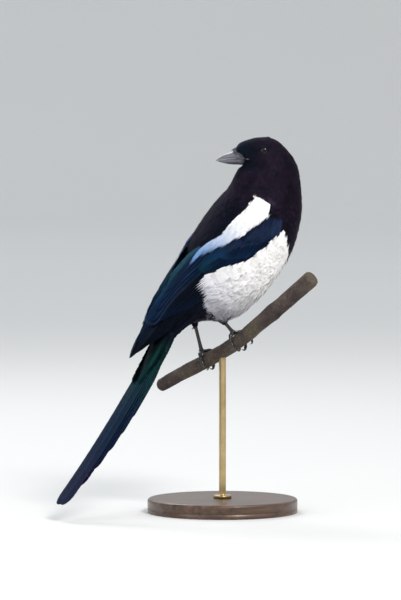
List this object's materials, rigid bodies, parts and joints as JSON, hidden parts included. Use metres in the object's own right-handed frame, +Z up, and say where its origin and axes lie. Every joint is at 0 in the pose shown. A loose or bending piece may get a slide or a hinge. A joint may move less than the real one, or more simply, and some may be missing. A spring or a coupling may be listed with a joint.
{
  "type": "eurasian magpie model",
  "caption": "Life-size still model of a black and white long-tailed bird, perched on a cut branch on a small display stand and looking back over its shoulder.",
  "frame": {"origin": "centre of the underside of the stand's round base, straight below the rod", "axes": "+X the way the body faces, +Y the bird's left side, +Z up"},
  "size_m": [0.2682, 0.1995, 0.3744],
  "materials": {
    "plumage_black": "soft feathers with a faint violet gloss",
    "plumage_white": "soft white body feathers; black on the mantle, breast, rump and vent",
    "plumage_wing": "glossy blue flight feathers, white on the shoulder",
    "plumage_tail": "glossy green-blue tail feathers",
    "bill_horn": "satin horn",
    "eye_glass": "wet, glossy, dark brown",
    "leg_scale": "scaled skin",
    "claw_horn": "polished horn",
    "perch_bark": "rough bark with cut ends",
    "stand_metal": "brushed",
    "stand_wood": "satin, turned"
  },
  "bodies": {
    "root": {"head": "plumage_black", "neck": "plumage_black", "torso": "plumage_white", "tail": "plumage_tail", "wing_right": "plumage_wing", "wing_left": "plumage_wing", "thigh_right": "plumage_black", "thigh_left": "plumage_black", "bill_upper": "bill_horn", "bill_lower": "bill_horn", "eye_right": "eye_glass", "eye_left": "eye_glass", "leg_right": "leg_scale", "leg_left": "leg_scale", "perch_branch": "perch_bark", "stand_rod": "stand_metal", "stand_base": "stand_wood", "claw_right_inner": "claw_horn", "claw_right_middle": "claw_horn", "claw_right_outer": "claw_horn", "claw_right_hind": "claw_horn", "claw_left_inner": "claw_horn", "claw_left_middle": "claw_horn", "claw_left_outer": "claw_horn", "claw_left_hind": "claw_horn"}
  },
  "joints": []
}
